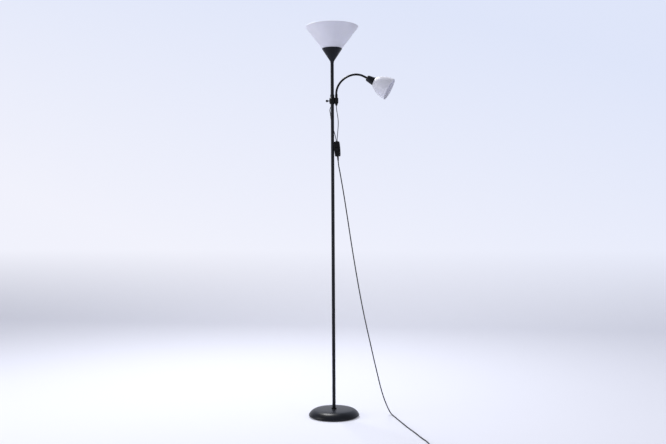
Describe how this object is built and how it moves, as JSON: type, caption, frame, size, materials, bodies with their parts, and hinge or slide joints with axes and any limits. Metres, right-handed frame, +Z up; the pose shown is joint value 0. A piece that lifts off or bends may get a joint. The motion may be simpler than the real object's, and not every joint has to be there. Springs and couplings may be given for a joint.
{
  "type": "torchiere floor lamp with reading light",
  "caption": "Torchiere floor lamp: slim black pole on a round base, opal cone uplight on top and an opal reading light on a bendable side arm.",
  "frame": {"origin": "centre of the felt's underside, on the floor", "axes": "+Z up along the pole, +X towards the reading light's arm, +Y towards the lamp's back as pictured"},
  "size_m": [0.5906, 0.7163, 1.76],
  "materials": {
    "felt": "needled felt",
    "cast_iron": "as cast, black paint",
    "satin_black_steel": "satin powder coat",
    "zinc_steel": "zinc plated",
    "black_plastic": "fine moulded texture",
    "black_nylon": "smooth moulded",
    "lampholder_plastic": "moulded phenolic",
    "rocker_plastic": "polished",
    "black_rubber": "soft moulded",
    "arm_sleeve": "satin black sleeve over steel",
    "black_cable": "satin PVC",
    "plug_plastic": "moulded PVC",
    "brass": "bright",
    "nickel_pins": "nickel plated",
    "opal_plastic": "opal white, satin",
    "opal_glass": "opal coated bulb",
    "bulb_cap_aluminium": "bright"
  },
  "bodies": {
    "stand": {"base_felt": "felt", "base_weight": "cast_iron", "base_cover": "satin_black_steel", "pole_section_1": "satin_black_steel", "pole_section_2": "satin_black_steel", "pole_section_3": "satin_black_steel", "pole_section_4": "satin_black_steel", "uplight_cup": "satin_black_steel", "base_washer": "zinc_steel", "pole_inserts": "zinc_steel", "pole_studs": "zinc_steel", "pole_nuts": "zinc_steel", "switch_screw": "zinc_steel", "foot_ring": "black_plastic", "switch_front": "black_plastic", "switch_back": "black_plastic", "cable_clip": "black_plastic", "uplight_holder": "lampholder_plastic", "uplight_shade_ring": "lampholder_plastic", "cable_outlet": "black_rubber", "switch_top_relief": "black_rubber", "cord_relief": "black_rubber", "pole_wire": "black_cable", "lamp_cable": "black_cable", "reading_cable": "black_cable", "supply_cord": "black_cable", "plug_body": "plug_plastic", "uplight_contact": "brass", "uplight_screw_shell": "brass", "switch_contacts": "brass", "plug_pins": "nickel_pins", "uplight_shade": "opal_plastic", "uplight_bulb_glass": "opal_glass", "uplight_bulb_cap": "bulb_cap_aluminium"},
    "liner": {"clamp_liner": "black_nylon"},
    "clamp": {"clamp_body": "black_plastic", "clamp_nut": "zinc_steel", "arm_gland": "black_rubber", "arm_root": "arm_sleeve"},
    "thumbscrew": {"thumbscrew": "zinc_steel", "thumbscrew_wing": "black_plastic"},
    "arm_1": {"arm_link_1": "arm_sleeve"},
    "arm_2": {"arm_link_2": "arm_sleeve"},
    "arm_3": {"arm_link_3": "arm_sleeve"},
    "arm_4": {"arm_link_4": "arm_sleeve"},
    "arm_5": {"arm_link_5": "arm_sleeve"},
    "arm_6": {"arm_link_6": "arm_sleeve"},
    "arm_7": {"arm_link_7": "arm_sleeve"},
    "reading_head": {"arm_link_8": "arm_sleeve", "reading_cup": "satin_black_steel", "reading_nut": "zinc_steel", "reading_holder": "lampholder_plastic", "reading_contact": "brass", "reading_screw_shell": "brass", "reading_shade": "opal_plastic", "reading_shade_ring": "lampholder_plastic", "reading_bulb_cap": "bulb_cap_aluminium", "reading_bulb_glass": "opal_glass"},
    "uplight_rocker": {"uplight_rocker": "rocker_plastic"},
    "reading_rocker": {"reading_rocker": "rocker_plastic"}
  },
  "joints": [
    {"name": "clamp_slide", "type": "slide", "parent": "stand", "child": "liner", "axis": [0, 0, 1], "range_m": [0, 0.04], "deforming": ["reading_cable"]},
    {"name": "clamp_swivel", "type": "hinge", "parent": "liner", "child": "clamp", "pos_m": [0, 0, 1.4255], "axis": [0, 0, 1], "range_deg": [-120, 120], "deforming": ["reading_cable"]},
    {"name": "thumbscrew_turn", "type": "hinge", "parent": "clamp", "child": "thumbscrew", "pos_m": [-0.0209, 0, 1.4255], "axis": [1, 0, 0], "range_deg": [-360, 0]},
    {"name": "arm_bend_1", "type": "hinge", "parent": "clamp", "child": "arm_1", "pos_m": [0.01867, 0, 1.46125], "axis": [0, 1, 0], "range_deg": [-15, 15]},
    {"name": "arm_sway_1", "type": "hinge", "parent": "arm_1", "child": "arm_2", "pos_m": [0.02353, 0, 1.48361], "axis": [0.9355, 0, -0.3534], "range_deg": [-15, 15]},
    {"name": "arm_bend_2", "type": "hinge", "parent": "arm_2", "child": "arm_3", "pos_m": [0.03467, 0, 1.50361], "axis": [0, 1, 0], "range_deg": [-15, 15]},
    {"name": "arm_sway_2", "type": "hinge", "parent": "arm_3", "child": "arm_4", "pos_m": [0.05069, 0, 1.51999], "axis": [0.6241, 0, -0.7813], "range_deg": [-15, 15]},
    {"name": "arm_bend_3", "type": "hinge", "parent": "arm_4", "child": "arm_5", "pos_m": [0.07021, 0, 1.53199], "axis": [0, 1, 0], "range_deg": [-15, 15]},
    {"name": "arm_sway_3", "type": "hinge", "parent": "arm_5", "child": "arm_6", "pos_m": [0.09206, 0, 1.53888], "axis": [0.1816, 0, -0.9834], "range_deg": [-15, 15]},
    {"name": "arm_bend_4", "type": "hinge", "parent": "arm_6", "child": "arm_7", "pos_m": [0.11493, 0, 1.5398], "axis": [0, 1, 0], "range_deg": [-15, 15]},
    {"name": "arm_sway_4", "type": "hinge", "parent": "arm_7", "child": "reading_head", "pos_m": [0.13708, 0, 1.53405], "axis": [-0.3906, 0, -0.9206], "range_deg": [-15, 15]},
    {"name": "uplight_rocker_tilt", "type": "hinge", "parent": "stand", "child": "uplight_rocker", "pos_m": [0.02051, -0.007, 1.22306], "axis": [0.9976, 0, 0.0698], "range_deg": [0, 16]},
    {"name": "reading_rocker_tilt", "type": "hinge", "parent": "stand", "child": "reading_rocker", "pos_m": [0.02178, -0.007, 1.20491], "axis": [0.9976, 0, 0.0698], "range_deg": [0, 16]}
  ]
}
